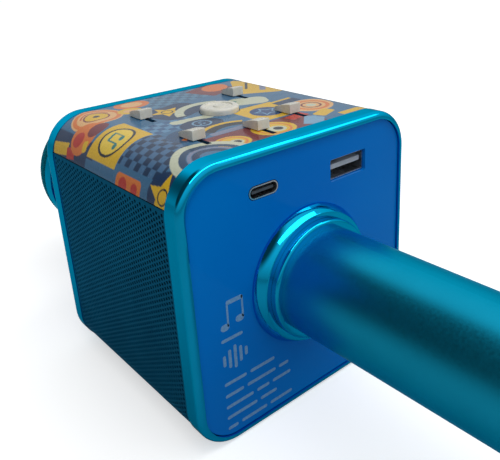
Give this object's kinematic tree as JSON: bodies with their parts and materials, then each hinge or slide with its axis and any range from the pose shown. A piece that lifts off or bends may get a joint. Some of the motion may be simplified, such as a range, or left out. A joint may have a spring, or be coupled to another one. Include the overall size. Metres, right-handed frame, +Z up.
{
  "type": "karaoke microphone",
  "caption": "Handheld karaoke microphone with a cube loudspeaker, ball head, tube handle, slide controls, a power button and charging ports.",
  "frame": {"origin": "centre of the bounding box, on the surface the cube's flat back rests on", "axes": "+Y along the microphone from handle to head, +Z up out of the control face, +X across"},
  "size_m": [0.077, 0.26, 0.0796],
  "materials": {
    "frame_chrome": "tinted mirror plating",
    "panel_blue": "gloss",
    "printed_cover": "printed under clear gloss",
    "grille_paint": "satin paint, perforated",
    "inner_black": "matte",
    "steel": "brushed",
    "cone_black": "matte",
    "magnet": "plain",
    "board": "solder mask",
    "cream": "semi-gloss",
    "port_grey": "matte",
    "port_dark": "matte",
    "handle_satin": "satin anodised",
    "cell_wrap": "shrink wrap",
    "mesh_teal": "metallic paint",
    "foam": "open foam",
    "rubber_black": "matte"
  },
  "bodies": {
    "shell": {"near_frame": "frame_chrome", "far_frame": "frame_chrome", "end_panel": "panel_blue", "head_panel": "panel_blue", "front_cover": "printed_cover", "speaker_grille": "grille_paint", "cabinet": "inner_black", "speaker_basket_left": "steel", "speaker_basket_right": "steel", "speaker_cone_left": "cone_black", "speaker_cone_right": "cone_black", "speaker_magnet_left": "magnet", "speaker_magnet_right": "magnet", "control_board": "board", "slide_pots": "steel", "switch_body": "inner_black", "main_board": "board", "usb_c_shell": "steel", "usb_c_tongue": "port_dark", "usb_a_shell": "steel", "usb_a_tongue": "port_grey", "collar_ring": "frame_chrome", "handle_ferrule": "frame_chrome", "handle_tube": "handle_satin", "handle_core": "inner_black", "battery_cell": "cell_wrap", "handle_end_ring": "frame_chrome", "handle_end_cap": "handle_satin", "head_collar": "frame_chrome", "head_ferrule": "frame_chrome", "head_neck": "handle_satin", "head_core": "inner_black", "mesh_lower": "mesh_teal", "head_band": "frame_chrome", "mesh_dome": "mesh_teal", "foam_liner": "foam", "capsule_mount": "rubber_black", "mic_capsule": "steel", "frame_screws_near": "steel", "frame_screws_far": "steel", "handle_screws": "steel", "head_screws": "steel", "control_board_screws": "steel", "main_board_screws": "steel"},
    "bass_knob": {"bass_knob": "cream"},
    "treble_knob": {"treble_knob": "cream"},
    "echo_knob": {"echo_knob": "cream"},
    "mic_volume_knob": {"mic_volume_knob": "cream"},
    "music_volume_knob": {"music_volume_knob": "cream"},
    "power_button": {"power_button": "cream", "switch_plunger": "inner_black"}
  },
  "joints": [
    {"name": "bass_slide", "type": "slide", "parent": "shell", "child": "bass_knob", "axis": [0, -1, 0], "range_m": [0, 0.006]},
    {"name": "treble_slide", "type": "slide", "parent": "shell", "child": "treble_knob", "axis": [0, -1, 0], "range_m": [0, 0.006]},
    {"name": "echo_slide", "type": "slide", "parent": "shell", "child": "echo_knob", "axis": [0, -1, 0], "range_m": [0, 0.006]},
    {"name": "mic_volume_slide", "type": "slide", "parent": "shell", "child": "mic_volume_knob", "axis": [0, -1, 0], "range_m": [0, 0.006]},
    {"name": "music_volume_slide", "type": "slide", "parent": "shell", "child": "music_volume_knob", "axis": [0, -1, 0], "range_m": [0, 0.006]},
    {"name": "power_press", "type": "slide", "parent": "shell", "child": "power_button", "axis": [0, 0, -1], "range_m": [0, 0.0006], "stiffness_N_per_m": 1500}
  ]
}
